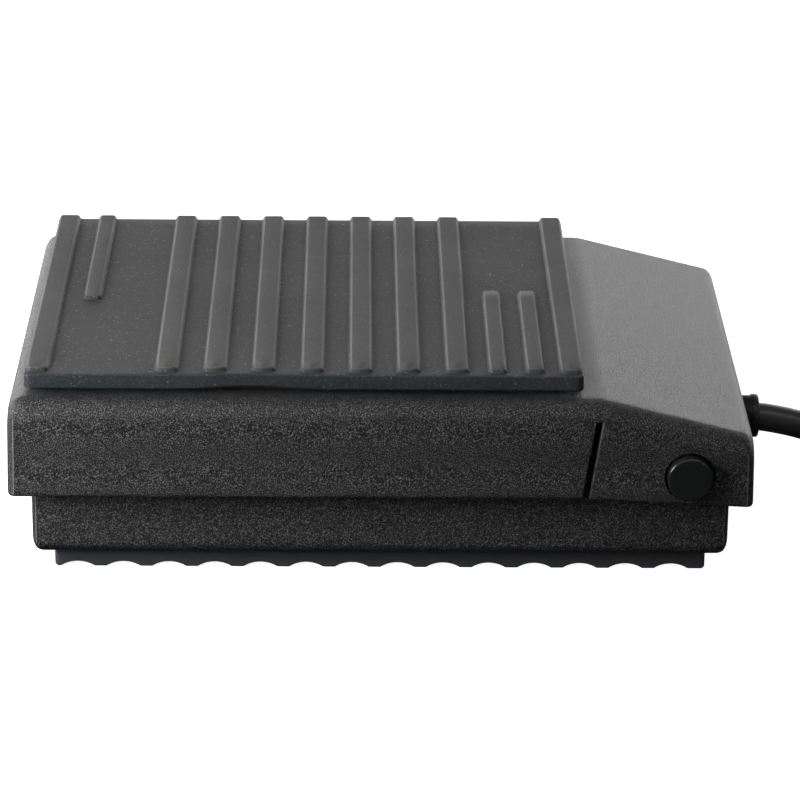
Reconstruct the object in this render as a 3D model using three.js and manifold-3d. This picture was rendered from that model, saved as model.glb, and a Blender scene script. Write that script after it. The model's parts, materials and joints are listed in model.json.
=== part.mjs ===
// Sustain pedal: a hinged cover over an inset base tray, with its switch, spring and corded jack plug.
// Millimetres, +Z up. The origin is under the middle of the cover, on the floor.
// The toe end points along -X and the cord leaves the heel end along +X.

import * as THREE from 'three';
import * as BufferGeometryUtils from 'three/addons/utils/BufferGeometryUtils.js';
import Module from 'manifold-3d';

const wasm = await Module();
wasm.setup();

const GAP = 0.3;
const ROUND_STEPS = 24;
const FILLET_STEPS = 3;

const MAT = { x: 44.3, y: 29.3, height: 2.7, corner: 1.5 };
const MAT_RIB = { pitch: 6.22, land: 1.6, depth: 0.7, count: 15 };

const BASE = { x: 47.05, y: 31.85, bottom: 3, floor: 5, wall: 2, corner: 1.2, edge: 1.5 };
const WALL_TOP = { toe: 15.6, heel: 19 };
const TOWER = { from: 36.4, to: 45.6, top: 20.4, inner: 27.4, blockTop: 17, ring: 4.5 };

const COVER = { x: 50, y: 35, low: 12.6, top: 26.3, wall: 2, roof: 2.2, corner: 1.5, edge: 1 };
const HEEL = { foldX: 30.2, endX: 49.2, endZ: 21.4, low: 11.5 };
const ROOF_RIB = { half: 0.7, depth: 2, heel: 26, crossX: [-12, 25.3], reach: 29 };
const LONG_ROOF_RIBS = [{ y: 28.4, toe: -38 }, { y: 4, toe: -12 }];
const SLIT = { lowX: 27.1, topX: 29.2, top: 23.1, width: 0.8 };

const PIVOT = { x: 41.3, z: 15.95, hole: 3.4, head: 3.1, shaft: 2.2, shaftHole: 2.5, proud: 1.2, boss: 5 };

const PAD = { toe: -47.6, heel: 26.95, y: 32.05, under: 26.6, top: 29.1, corner: 0.8 };
const PAD_RIB = { width: 3.3, shortWidth: 2.7, rise: 0.6, nearInset: 1.2 };
const LONG_RIBS = [-45.95, -28.65, -22.2, -15.75, -9.25, -2.8, 3.6, 10.1, 25.3];
const SHORT_RIBS = [
  { x: -40.35, from: -3.2, to: PAD.y },
  { x: 15.5, from: PAD_RIB.nearInset - PAD.y, to: 0.5 },
  { x: 20.5, from: PAD_RIB.nearInset - PAD.y, to: 0.5 },
];

const SPRING = { x: -20, radius: 5.4, wire: 0.6, turns: 7, bottom: 5.3, top: 23.8 };
const SPRING_SEAT = { pin: 4, pinHeight: 2.2, ring: 7.4, bore: 6.4, ringHeight: 2.4 };
const BUMPER = {
  x: -33, y: 24, boss: 4.6, bossTop: 8.4, head: 4, height: 3, stem: 1.8, stop: 3.4, stopTop: 18,
};
const HOOK = { y: 17, width: 7, face: -43.1, arm: 2, tip: -44.5, low: 12.8, toe: 1, ledge: -43.7 };

const SWITCH = { toe: -1, heel: 18.8, y: 10.3, width: 6.4, low: 9.2, top: 18.6, hole: 1.3 };
const BRACKET = { thickness: 1.9, top: 17, margin: 1 };
const SWITCH_SCREW = { x: [4.15, 13.65], z: 12, shank: 1, head: 1.9, headHeight: 1.4 };
const PLUNGER = { x: 12.6, width: 1.4, length: 2.2, top: 19.6, depth: 2.6 };
const LEVER = { width: 3.8, thickness: 0.4, length: 19.4, tilt: 10, hinge: { x: 17.6, z: 19.2 } };
const TAG = { width: 3.2, thickness: 0.5, length: 3.1 };
const TAG_X = { common: 17.2, open: 8.4, closed: 1.1 };
const POST = { x: 1.2, size: 3, width: 5, bottom: 22.8 };

const CORD = { z: 10.95, radius: 2, from: 30.2, exit: 50.3, sides: 10 };
const COLLAR = { outer: 3.1, bore: 2.3, out: 53.95, flange: 4.9, flangeThickness: 1.8, hole: 3.65 };
const HEEL_NOTCH = { radius: 4.4 };
const CLAMP = {
  x: 36.5, length: 5, y: 7, width: 20, low: 9.3, top: 13.9, post: 2.7, screw: 1.2, screwHead: 2.1,
};
const CORE = { radius: 0.65, sides: 8, steps: 18 };

const COIL = { x: 97, y: -27, mean: 23, layers: 4, across: 3 };
const LEAD_STEPS = 14;
const TAIL_STEPS = 22;

// The jack plug lies on the floor on the rim of its grip and on its tip.
const PLUG = { x: 133.2, y: -0.9, tilt: 5.5, z: 8.25 };
const GRIP = { length: 27, radius: 5.6, neck: 3.2, neckLength: 9, bore: 2.3 };
const JACK = { radius: 3.175, sleeve: 22.6, bore: 1.7, core: 1.3, insulator: 1, tip: 6.6, waist: 2.1 };

const pedal = new THREE.Group();
const plug = new THREE.Group();
pedal.add(plug);

const finish = (color, roughness, metalness = 0) =>
  new THREE.MeshStandardMaterial({ color, roughness, metalness });
const abs = () => finish(0x1b1b1d, 0.6);
const rubber = () => finish(0x3f4145, 0.8);
const gloss = () => finish(0x0b0b0c, 0.25);
const steel = () => finish(0xb8bbbf, 0.35, 1);
const brass = () => finish(0xc9a25a, 0.35, 1);

function addPiece(name, geometry, material, parent = pedal) {
  const mesh = new THREE.Mesh(geometry, material);
  mesh.name = name;
  parent.add(mesh);
}

// ---- solids ----

function solid(geometry) {
  const bare = geometry.index ? geometry.toNonIndexed() : geometry.clone();
  bare.deleteAttribute('normal');
  bare.deleteAttribute('uv');
  const merged = BufferGeometryUtils.mergeVertices(bare, 1e-4);
  return new wasm.Manifold(new wasm.Mesh({
    numProp: 3,
    vertProperties: merged.attributes.position.array,
    triVerts: new Uint32Array(merged.index.array),
  }));
}

function geometryOf(body) {
  const mesh = body.getMesh();
  const geometry = new THREE.BufferGeometry();
  geometry.setAttribute('position', new THREE.BufferAttribute(mesh.vertProperties, mesh.numProp));
  geometry.setIndex(new THREE.BufferAttribute(mesh.triVerts, 1));
  return geometry;
}

const join = (first, ...others) => others.reduce((body, other) => body.add(solid(other)), solid(first));
const cut = (body, ...tools) => tools.reduce((rest, tool) => rest.subtract(solid(tool)), body);
const common = (first, ...others) =>
  others.reduce((body, other) => body.intersect(solid(other)), solid(first));

function box(x0, x1, y0, y1, z0, z1) {
  const geometry = new THREE.BoxGeometry(x1 - x0, y1 - y0, z1 - z0);
  return geometry.translate((x0 + x1) / 2, (y0 + y1) / 2, (z0 + z1) / 2);
}

// A round bar between two points.
function rod(radius, from, to, sides = ROUND_STEPS) {
  const start = new THREE.Vector3(...from);
  const run = new THREE.Vector3(...to).sub(start);
  const geometry = new THREE.CylinderGeometry(radius, radius, run.length(), sides);
  const upright = new THREE.Vector3(0, 1, 0);
  const turn = new THREE.Quaternion().setFromUnitVectors(upright, run.clone().normalize());
  return geometry.applyQuaternion(turn).translate(...start.addScaledVector(run, 0.5).toArray());
}

function extrude(shape, depth) {
  return new THREE.ExtrudeGeometry(shape, { depth, bevelEnabled: false, curveSegments: FILLET_STEPS });
}

const prismZ = (shape, z0, z1) => extrude(shape, z1 - z0).translate(0, 0, z0);
// Drawn in X and Z, run along Y.
const prismY = (shape, y0, y1) => extrude(shape, y1 - y0).rotateX(Math.PI / 2).translate(0, y1, 0);
// Drawn in Y and Z, run along X.
const prismX = (shape, x0, x1) => (
  extrude(shape, x1 - x0).rotateX(Math.PI / 2).rotateZ(Math.PI / 2).translate(x0, 0, 0)
);

function polygon(points) {
  return new THREE.Shape(points.map(([x, y]) => new THREE.Vector2(x, y)));
}

// A rectangle whose corners are rounded: low corners by rLow, high corners by rHigh.
function roundedRect(x0, x1, y0, y1, rLow, rHigh = rLow) {
  const shape = new THREE.Shape();
  shape.moveTo(x0 + rLow, y0).lineTo(x1 - rLow, y0);
  if (rLow > 0) shape.absarc(x1 - rLow, y0 + rLow, rLow, -Math.PI / 2, 0);
  shape.lineTo(x1, y1 - rHigh);
  if (rHigh > 0) shape.absarc(x1 - rHigh, y1 - rHigh, rHigh, 0, Math.PI / 2);
  shape.lineTo(x0 + rHigh, y1);
  if (rHigh > 0) shape.absarc(x0 + rHigh, y1 - rHigh, rHigh, Math.PI / 2, Math.PI);
  shape.lineTo(x0, y0 + rLow);
  if (rLow > 0) shape.absarc(x0 + rLow, y0 + rLow, rLow, Math.PI, 1.5 * Math.PI);
  return shape;
}

// A turned piece: its profile is [radius, height] pairs, and it stands along +Z.
function turned(profile, sides = ROUND_STEPS) {
  const points = profile.map(([radius, height]) => new THREE.Vector2(radius, height));
  return new THREE.LatheGeometry(points, sides).rotateX(Math.PI / 2);
}

const alongX = (geometry) => geometry.rotateY(Math.PI / 2);

function circle(radius, sides) {
  const points = [];
  for (let k = 0; k < sides; k += 1) {
    const angle = (k / sides) * 2 * Math.PI;
    points.push([radius * Math.cos(angle), radius * Math.sin(angle)]);
  }
  return polygon(points);
}

// A round tube that follows a smooth curve through its points.
function tube(points, radius, sides, steps) {
  const path = new THREE.CatmullRomCurve3(points.map((point) => new THREE.Vector3(...point)));
  const section = circle(radius, sides);
  return new THREE.ExtrudeGeometry(section, { steps, extrudePath: path, bevelEnabled: false });
}

// ---- mat ----

function baseMat() {
  const blank = prismZ(roundedRect(-MAT.x, MAT.x, -MAT.y, MAT.y, MAT.corner), 0, MAT.height);
  const halfChord = (MAT_RIB.pitch - MAT_RIB.land) / 2;
  const arc = (halfChord ** 2 + MAT_RIB.depth ** 2) / (2 * MAT_RIB.depth);
  const grooves = [];
  for (let k = 0; k < MAT_RIB.count - 1; k += 1) {
    const x = -MAT.x + (k + 0.5) * MAT_RIB.pitch;
    const z = MAT_RIB.depth - arc;
    grooves.push(rod(arc, [x, -MAT.y - 1, z], [x, MAT.y + 1, z], 2 * ROUND_STEPS));
  }
  return geometryOf(cut(solid(blank), ...grooves));
}

// ---- base tray ----

function wallTop(x) {
  return WALL_TOP.toe + ((x + BASE.x) / (TOWER.from + BASE.x)) * (WALL_TOP.heel - WALL_TOP.toe);
}

function baseShell() {
  const profile = new THREE.Shape();
  profile.moveTo(-BASE.x + BASE.edge, BASE.bottom).lineTo(BASE.x - BASE.edge, BASE.bottom);
  profile.absarc(BASE.x - BASE.edge, BASE.bottom + BASE.edge, BASE.edge, -Math.PI / 2, 0);
  profile.lineTo(BASE.x, WALL_TOP.heel - 2).lineTo(TOWER.to, WALL_TOP.heel - 2);
  profile.lineTo(TOWER.to - 1, TOWER.top - 0.9).lineTo(TOWER.from + 2, TOWER.top);
  profile.lineTo(TOWER.from, wallTop(TOWER.from)).lineTo(-BASE.x, wallTop(-BASE.x));
  profile.lineTo(-BASE.x, BASE.bottom + BASE.edge);
  profile.absarc(-BASE.x + BASE.edge, BASE.bottom + BASE.edge, BASE.edge, Math.PI, 1.5 * Math.PI);
  const plan = roundedRect(-BASE.x, BASE.x, -BASE.y, BASE.y, BASE.corner);
  const section = roundedRect(-BASE.y, BASE.y, BASE.bottom, COVER.top, BASE.edge, 0);
  const outer = common(
    prismY(profile, -BASE.y - 1, BASE.y + 1),
    prismZ(plan, 0, COVER.top),
    prismX(section, -BASE.x - 1, BASE.x + 1),
  );
  const [x, y] = [BASE.x - BASE.wall, BASE.y - BASE.wall];
  return cut(outer, box(-x, x, -y, y, BASE.floor, COVER.top));
}

function baseTray() {
  let tray = baseShell();
  const add = (...geometries) => {
    tray = geometries.reduce((body, geometry) => body.add(solid(geometry)), tray);
  };
  const floor = BASE.floor - 1;
  const { x: sx } = SPRING;
  const seat = cut(
    join(rod(SPRING_SEAT.ring, [sx, 0, floor], [sx, 0, BASE.floor + SPRING_SEAT.ringHeight])),
    rod(SPRING_SEAT.bore, [sx, 0, BASE.floor], [sx, 0, BASE.floor + 9]),
  );
  tray = tray.add(seat);
  add(rod(SPRING_SEAT.pin, [sx, 0, floor], [sx, 0, BASE.floor + SPRING_SEAT.pinHeight]));
  for (const side of [-1, 1]) {
    const [inner, outer] = [TOWER.inner, BASE.y - 0.5];
    const [y0, y1] = [Math.min(side * inner, side * outer), Math.max(side * inner, side * outer)];
    add(box(TOWER.from, TOWER.to, y0, y1, floor, TOWER.blockTop));
    add(rod(TOWER.ring, [PIVOT.x, side * inner, PIVOT.z], [PIVOT.x, side * outer, PIVOT.z]));
    add(rod(BUMPER.boss, [BUMPER.x, side * BUMPER.y, floor], [BUMPER.x, side * BUMPER.y, BUMPER.bossTop]));
    const hookY = side * HOOK.y;
    const reach = HOOK.width / 2 + 1.5;
    const [ledgeLow, ledgeHigh] = [HOOK.low + HOOK.toe + GAP, WALL_TOP.toe - 0.3];
    add(box(-BASE.x + 1, HOOK.ledge, hookY - reach, hookY + reach, ledgeLow, ledgeHigh));
    add(rod(CLAMP.post, [CLAMP.x, side * CLAMP.y, floor], [CLAMP.x, side * CLAMP.y, CLAMP.low - GAP]));
  }
  const front = SWITCH.y - GAP;
  const [toe, heel] = [SWITCH.toe + BRACKET.margin, SWITCH.heel - BRACKET.margin];
  add(box(toe, heel, front - BRACKET.thickness, front, floor, BRACKET.top));
  add(box(CLAMP.x - 2, CLAMP.x + 2, -CLAMP.y, CLAMP.y, floor, CORD.z - CORD.radius - GAP));

  const cuts = [];
  for (const side of [-1, 1]) {
    const [bumperY, clampY] = [side * BUMPER.y, side * CLAMP.y];
    cuts.push(rod(PIVOT.shaftHole, [PIVOT.x, side * 20, PIVOT.z], [PIVOT.x, side * 40, PIVOT.z]));
    cuts.push(rod(BUMPER.stem + GAP, [BUMPER.x, bumperY, BASE.floor], [BUMPER.x, bumperY, TOWER.top]));
    cuts.push(rod(CLAMP.screw + GAP, [CLAMP.x, clampY, BASE.floor], [CLAMP.x, clampY, TOWER.top]));
  }
  for (const x of SWITCH_SCREW.x) {
    cuts.push(rod(SWITCH.hole, [x, 0, SWITCH_SCREW.z], [x, SWITCH.y, SWITCH_SCREW.z]));
  }
  cuts.push(rod(COLLAR.hole, [BASE.x - 5, 0, CORD.z], [BASE.x + 5, 0, CORD.z]));
  return geometryOf(cut(tray, ...cuts));
}

// ---- cover ----

// The cover's side outline, moved in by `wall` at its ends and by `roof` under its top.
function coverOutline(wall, roof, low) {
  const x = COVER.x - wall;
  const top = COVER.top - roof;
  const r = COVER.edge;
  const fall = (COVER.top - HEEL.endZ) / (HEEL.endX - HEEL.foldX);
  const endZ = HEEL.endZ - roof + (wall * fall);
  const shape = new THREE.Shape();
  shape.moveTo(-x, low).lineTo(SLIT.lowX, low).lineTo(x, low - (COVER.low - HEEL.low));
  shape.lineTo(x, endZ - r).lineTo(x - 0.3, endZ - 0.25 * r).lineTo(x - r, endZ + fall * 0.2);
  shape.lineTo(HEEL.foldX, top).lineTo(-x + r, top);
  shape.absarc(-x + r, top - r, r, Math.PI / 2, Math.PI);
  return shape;
}

function coverBlock(wall, roof, low) {
  const [x, y] = [COVER.x - wall, COVER.y - wall];
  const plan = roundedRect(-x, x, -y, y, Math.max(COVER.corner - wall, 0.5));
  const section = roundedRect(-y, y, 0, COVER.top - roof, 0, COVER.edge);
  return common(
    prismY(coverOutline(wall, roof, low), -y - 1, y + 1),
    prismZ(plan, 0, COVER.top + 1),
    prismX(section, -x - 1, x + 1),
  );
}

function cover() {
  let shell = coverBlock(0, 0, COVER.low).subtract(coverBlock(COVER.wall, COVER.roof, 1));
  const add = (...geometries) => {
    shell = geometries.reduce((body, geometry) => body.add(solid(geometry)), shell);
  };
  const ceiling = COVER.top - COVER.roof;
  const inside = ceiling + 1;
  const { half } = ROOF_RIB;
  const roofRib = (x0, x1, y0, y1) => box(x0, x1, y0, y1, ceiling - ROOF_RIB.depth, inside);
  add(rod(SPRING_SEAT.pin, [SPRING.x, 0, ceiling - SPRING_SEAT.pinHeight], [SPRING.x, 0, inside]));
  for (const side of [-1, 1]) {
    const wallY = COVER.y - COVER.wall;
    add(rod(PIVOT.boss, [PIVOT.x, side * (wallY - 0.8), PIVOT.z], [PIVOT.x, side * (wallY + 1), PIVOT.z]));
    const bumperY = side * BUMPER.y;
    add(rod(BUMPER.stop, [BUMPER.x, bumperY, BUMPER.stopTop], [BUMPER.x, bumperY, inside]));
    const [y0, y1] = [side * HOOK.y - HOOK.width / 2, side * HOOK.y + HOOK.width / 2];
    add(box(HOOK.face, HOOK.face + HOOK.arm, y0, y1, HOOK.low, inside));
    add(box(HOOK.tip, HOOK.face + 0.5, y0, y1, HOOK.low, HOOK.low + HOOK.toe));
    for (const { y, toe } of LONG_ROOF_RIBS) {
      add(roofRib(toe, ROOF_RIB.heel, side * y - half, side * y + half));
    }
  }
  for (const x of ROOF_RIB.crossX) add(roofRib(x - half, x + half, -ROOF_RIB.reach, ROOF_RIB.reach));
  const [postX0, postX1] = [POST.x - POST.size / 2, POST.x + POST.size / 2];
  const postY = SWITCH.y + SWITCH.width / 2;
  add(box(postX0, postX1, postY - POST.width / 2, postY + POST.width / 2, POST.bottom, inside));

  const gape = SLIT.width / 2;
  const slit = polygon([
    [SLIT.lowX - gape, COVER.low - 2], [SLIT.lowX + gape, COVER.low - 2],
    [SLIT.topX + gape, SLIT.top], [SLIT.topX - gape, SLIT.top],
  ]);
  const far = COVER.y + 5;
  return geometryOf(cut(
    shell,
    rod(PIVOT.hole, [PIVOT.x, -far, PIVOT.z], [PIVOT.x, far, PIVOT.z], 36),
    prismY(slit, -far, -COVER.y + COVER.wall + 0.1),
    prismY(slit, COVER.y - COVER.wall - 0.1, far),
    rod(HEEL_NOTCH.radius, [COVER.x - 5, 0, CORD.z], [COVER.x + 5, 0, CORD.z]),
    box(COVER.x - 5, COVER.x + 5, -HEEL_NOTCH.radius, HEEL_NOTCH.radius, 0, CORD.z),
  ));
}

// ---- tread pad ----

function treadPad() {
  const sheet = prismZ(roundedRect(PAD.toe, PAD.heel, -PAD.y, PAD.y, PAD.corner), PAD.under, PAD.top);
  const ribs = [];
  const rib = (x, width, y0, y1) => {
    const [w0, w1] = [width / 2, width / 2 - 0.4];
    const profile = [[x - w0, PAD.top - 0.5], [x + w0, PAD.top - 0.5], [x + w1, PAD.top + PAD_RIB.rise],
      [x - w1, PAD.top + PAD_RIB.rise]];
    ribs.push(prismY(polygon(profile), y0, y1));
  };
  for (const x of LONG_RIBS) rib(x, PAD_RIB.width, PAD_RIB.nearInset - PAD.y, PAD.y);
  for (const { x, from, to } of SHORT_RIBS) rib(x, PAD_RIB.shortWidth, from, to);
  return geometryOf(join(sheet, ...ribs));
}

// ---- pivots, stops and spring ----

function pivotPin(side) {
  const { head, shaft, proud } = PIVOT;
  const inner = BASE.y + GAP;
  const outer = COVER.y + proud;
  const pin = turned([
    [0, TOWER.inner - 1], [shaft - 0.4, TOWER.inner - 1], [shaft, TOWER.inner - 0.6], [shaft, inner],
    [head, inner], [head, outer - 0.5], [head - 0.15, outer - 0.15], [head - 0.5, outer], [0, outer],
  ], 36);
  return pin.rotateX(-side * Math.PI / 2).translate(PIVOT.x, 0, PIVOT.z);
}

function returnSpring() {
  const { x, radius, wire, turns, bottom, top } = SPRING;
  const points = [];
  const steps = turns * 12;
  for (let k = 0; k <= steps; k += 1) {
    const angle = (k / 12) * 2 * Math.PI;
    const z = THREE.MathUtils.lerp(bottom + wire, top - wire, k / steps);
    points.push([x + radius * Math.cos(angle), radius * Math.sin(angle), z]);
  }
  return tube(points, wire, 6, steps);
}

function bumper(side) {
  const { head, height, stem, bossTop } = BUMPER;
  const seat = bossTop + GAP;
  return turned([
    [0, BASE.floor + GAP], [stem, BASE.floor + GAP], [stem, seat], [head, seat],
    [head, seat + height - 0.8], [head - 0.8, seat + height], [0, seat + height],
  ]).translate(BUMPER.x, side * BUMPER.y, 0);
}

// ---- switch ----

const switchMiddle = SWITCH.y + SWITCH.width / 2;

function switchBody() {
  const { toe, heel, y, width, low, top, hole } = SWITCH;
  const body = join(
    box(toe, heel, y, y + width, low, top),
    box(heel - 2.4, heel, y + 1, y + width - 1, top - 1, top + 0.35),
  );
  const slot = PLUNGER.width / 2 + GAP;
  const well = PLUNGER.length / 2 + GAP;
  const screws = SWITCH_SCREW.x.map(
    (x) => rod(hole, [x, y - 1, SWITCH_SCREW.z], [x, y + width + 1, SWITCH_SCREW.z]),
  );
  const wellFloor = PLUNGER.top - PLUNGER.depth - 1.4;
  return geometryOf(cut(
    body,
    box(PLUNGER.x - well, PLUNGER.x + well, switchMiddle - slot, switchMiddle + slot, wellFloor, top + 1),
    ...screws,
  ));
}

function switchPlunger() {
  const { x, width, length, top, depth } = PLUNGER;
  const [y0, y1] = [switchMiddle - width / 2, switchMiddle + width / 2];
  return box(x - length / 2, x + length / 2, y0, y1, top - depth, top);
}

// The leaf rises towards the toe from its hinge at the switch's heel end.
function switchLever() {
  const leaf = roundedRect(-LEVER.length, 0.6, -LEVER.width / 2, LEVER.width / 2, 0.5);
  return prismZ(leaf, 0, LEVER.thickness)
    .rotateY(THREE.MathUtils.degToRad(LEVER.tilt))
    .translate(LEVER.hinge.x, switchMiddle, LEVER.hinge.z);
}

function terminal(x) {
  const [low, high] = [SWITCH.low - GAP - TAG.length, SWITCH.low - GAP];
  const blank = box(x - TAG.thickness / 2, x + TAG.thickness / 2, switchMiddle - TAG.width / 2,
    switchMiddle + TAG.width / 2, low, high);
  const eye = rod(0.5, [x - 2, switchMiddle, low + 1.1], [x + 2, switchMiddle, low + 1.1], 12);
  return geometryOf(cut(solid(blank), eye));
}

function screw(shank, head, headHeight, length) {
  const driver = 0.6 * headHeight;
  const body = solid(turned([
    [0, 0], [shank * 0.6, 0], [shank, 1], [shank, length], [head, length],
    [head, length + 0.6 * headHeight], [head * 0.7, length + headHeight], [0, length + headHeight],
  ]));
  const top = length + headHeight;
  const cross = [box(-head * 0.6, head * 0.6, -0.3, 0.3, top - driver, top + 1),
    box(-0.3, 0.3, -head * 0.6, head * 0.6, top - driver, top + 1)];
  return geometryOf(cut(body, ...cross));
}

function switchScrew(x) {
  const seat = SWITCH.y + SWITCH.width + GAP;
  const length = seat - (SWITCH.y - GAP - BRACKET.thickness) + 1;
  return screw(SWITCH_SCREW.shank, SWITCH_SCREW.head, SWITCH_SCREW.headHeight, length)
    .rotateX(-Math.PI / 2)
    .translate(x, seat - length, SWITCH_SCREW.z);
}

// ---- cord inside the tray ----

function cableClamp() {
  const { x, length, y, width, low, top, screw: shank } = CLAMP;
  const bar = roundedRect(-width / 2, width / 2, low, low + 2, 0.4);
  const saddle = roundedRect(-4, 4, low, top, 0.4, 1.6);
  const [x0, x1] = [x - length / 2, x + length / 2];
  const block = join(prismX(bar, x0, x1), prismX(saddle, x0, x1));
  const tunnel = CORD.radius + GAP;
  return geometryOf(cut(
    block,
    rod(tunnel, [x - 9, 0, CORD.z], [x + 9, 0, CORD.z]),
    box(x - 9, x + 9, -tunnel, tunnel, 0, CORD.z),
    rod(shank + GAP, [x, y, 0], [x, y, 30]),
    rod(shank + GAP, [x, -y, 0], [x, -y, 30]),
  ));
}

function clampScrew(side) {
  const seat = CLAMP.low + 2 + GAP;
  const length = seat - BASE.floor - 1;
  return screw(CLAMP.screw, CLAMP.screwHead, 1.4, length).translate(CLAMP.x, side * CLAMP.y, seat - length);
}

function strainRelief() {
  const { outer, bore, out, flange, flangeThickness } = COLLAR;
  const back = BASE.x - BASE.wall - GAP;
  const inside = back - flangeThickness;
  return alongX(turned([
    [bore, inside], [flange, inside], [flange, back], [outer, back],
    [outer, out - 0.4], [outer - 0.4, out], [bore, out], [bore, inside],
  ], 32)).translate(0, 0, CORD.z);
}

// The two cores run from the jacket's cut end round the bracket to their switch tags.
const SIGNAL_ROUTE = [
  [29.9, 0.85, 10.95], [27, 1.6, 10.4], [24.4, 5, 8.6], [22.4, 10, 6.9], [20, 15, 6.3], [16, 17.1, 6.2],
  [12, 17.2, 6.3], [9.6, 16.7, 6.8], [8.5, 15.5, 7.2],
];
const GROUND_ROUTE = [
  [29.9, -0.85, 10.95], [27, -0.9, 10.3], [24, 1.5, 8.6], [21.6, 6, 7.3], [20.6, 10, 7], [19.6, 12.4, 7.1],
  [17.8, 13.2, 7.2],
];

// ---- cord outside ----

// The cord's middle line from the collar down to the floor, up to the coil.
const LEAD_ROUTE = [
  [50.3, 0, 10.95], [52.6, 0, 10.92], [55, 0, 10.66], [57.2, 0, 10.26], [59.4, 0, 9.75], [61.6, 0, 9.1],
  [63.8, 0, 8.3], [66, 0, 7.4], [68.2, 0, 6.45], [70.4, 0, 5.45], [72.6, 0, 4.5], [74.8, 0, 3.65],
  [77, 0, 2.95], [79.2, 0, 2.45], [81.1, 0, 2.2],
];
// From the coil's top layer down to the floor and round to the plug's grip.
const TAIL_ROUTE = [
  [89.6, 3.8, 13.4], [91.8, 6, 12.6], [93.9, 8.1, 11.3], [96, 10.2, 9.5], [98.1, 12.3, 7.2],
  [100.3, 14.4, 5.3], [102.7, 16.1, 3.9], [105.4, 17.5, 2.9], [108.2, 18.5, 2.3], [111.2, 19, 2.05],
  [114.2, 19.1, 2], [117.2, 18.7, 2], [120.1, 17.9, 2.05], [122.8, 16.6, 2.25], [125.3, 15, 2.8],
  [127.6, 13, 3.8], [129.5, 10.7, 5.3], [131, 8.2, 6.8], [132.2, 5.4, 7.8], [132.9, 2.5, 8.3],
  [133.2, -0.5, 8.29],
];

function coil() {
  const half = (COIL.across * 2 * CORD.radius) / 2 + GAP;
  const top = COIL.layers * 2 * CORD.radius + GAP;
  const [inner, outer] = [COIL.mean - half, COIL.mean + half];
  const ring = turned([[inner, 0], [outer, 0], [outer, top], [inner, top], [inner, 0]], 40);
  return ring.translate(COIL.x, COIL.y, 0);
}

// ---- jack plug, standing along +Z from the back of its grip ----

function plugGrip() {
  const { length, radius, neck, neckLength, bore } = GRIP;
  const socket = JACK.radius + GAP;
  const profile = [[bore, 0], [neck, 0], [neck, neckLength - 2], [radius - 0.9, neckLength + 1]];
  for (let z = neckLength + 2; z < length - 3; z += 2.6) {
    profile.push([radius, z], [radius, z + 1.3], [radius - 0.5, z + 1.6], [radius - 0.5, z + 2.3]);
  }
  profile.push([radius, length - 2], [radius, length - 0.5], [radius - 0.5, length], [socket, length]);
  profile.push([socket, length - 9], [bore, length - 9], [bore, 0]);
  return turned(profile);
}

function plugSleeve() {
  const { radius, sleeve, bore } = JACK;
  const from = GRIP.length - 8.5;
  const to = GRIP.length + sleeve;
  return turned([
    [bore, from], [radius, from], [radius, to - 0.2], [radius - 0.2, to], [bore, to], [bore, from],
  ]);
}

function plugRing() {
  const { radius, sleeve, bore, insulator } = JACK;
  const from = GRIP.length + sleeve + GAP;
  const to = from + insulator;
  return turned([[bore, from], [radius - 0.1, from], [radius - 0.1, to], [bore, to], [bore, from]]);
}

function plugTip() {
  const { radius, sleeve, core: shank, insulator, tip, waist } = JACK;
  const from = GRIP.length + sleeve + insulator + 2 * GAP;
  return turned([
    [0, from - 6], [shank, from - 6], [shank, from], [radius - 0.3, from], [radius, from + 0.3],
    [radius, from + 1], [waist, from + 2.6], [waist, from + 3], [radius - 0.3, from + 4.2],
    [radius - 0.5, from + 4.8], [1.2, from + tip - 0.3], [0.6, from + tip], [0, from + tip],
  ]);
}

// ---- assembly ----

addPiece('base_mat', baseMat(), rubber());
addPiece('base_tray', baseTray(), abs());
addPiece('cover', cover(), abs());
addPiece('tread_pad', treadPad(), rubber());
addPiece('pivot_pin_near', pivotPin(-1), gloss());
addPiece('pivot_pin_far', pivotPin(1), gloss());
addPiece('return_spring', returnSpring(), steel());
addPiece('bumper_near', bumper(-1), rubber());
addPiece('bumper_far', bumper(1), rubber());
addPiece('switch_body', switchBody(), gloss());
addPiece('switch_plunger', switchPlunger(), finish(0x8f1f1a, 0.5));
addPiece('switch_lever', switchLever(), steel());
for (const [name, x] of Object.entries(TAG_X)) addPiece(`terminal_${name}`, terminal(x), brass());
addPiece('switch_screw_front', switchScrew(SWITCH_SCREW.x[0]), steel());
addPiece('switch_screw_rear', switchScrew(SWITCH_SCREW.x[1]), steel());
addPiece('cable_clamp', cableClamp(), abs());
addPiece('clamp_screw_near', clampScrew(-1), steel());
addPiece('clamp_screw_far', clampScrew(1), steel());
addPiece('strain_relief', strainRelief(), gloss());
addPiece('cord_inner', rod(CORD.radius, [CORD.from, 0, CORD.z], [CORD.exit - GAP, 0, CORD.z]), gloss());
addPiece('wire_signal', tube(SIGNAL_ROUTE, CORE.radius, CORE.sides, CORE.steps), finish(0xb01c1c, 0.5));
addPiece('wire_ground', tube(GROUND_ROUTE, CORE.radius, CORE.sides, CORE.steps), finish(0x111111, 0.5));
addPiece('cord_lead', tube(LEAD_ROUTE, CORD.radius, CORD.sides, LEAD_STEPS), gloss());
addPiece('cord_coil', coil(), gloss());
addPiece('cord_tail', tube(TAIL_ROUTE, CORD.radius, CORD.sides, TAIL_STEPS), gloss());
addPiece('plug_grip', plugGrip(), gloss(), plug);
addPiece('plug_sleeve', plugSleeve(), steel(), plug);
addPiece('plug_ring', plugRing(), gloss(), plug);
addPiece('plug_tip', plugTip(), steel(), plug);

plug.position.set(PLUG.x, PLUG.y, PLUG.z);
plug.rotation.x = Math.PI / 2 + THREE.MathUtils.degToRad(PLUG.tilt);

export default pedal;
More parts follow.
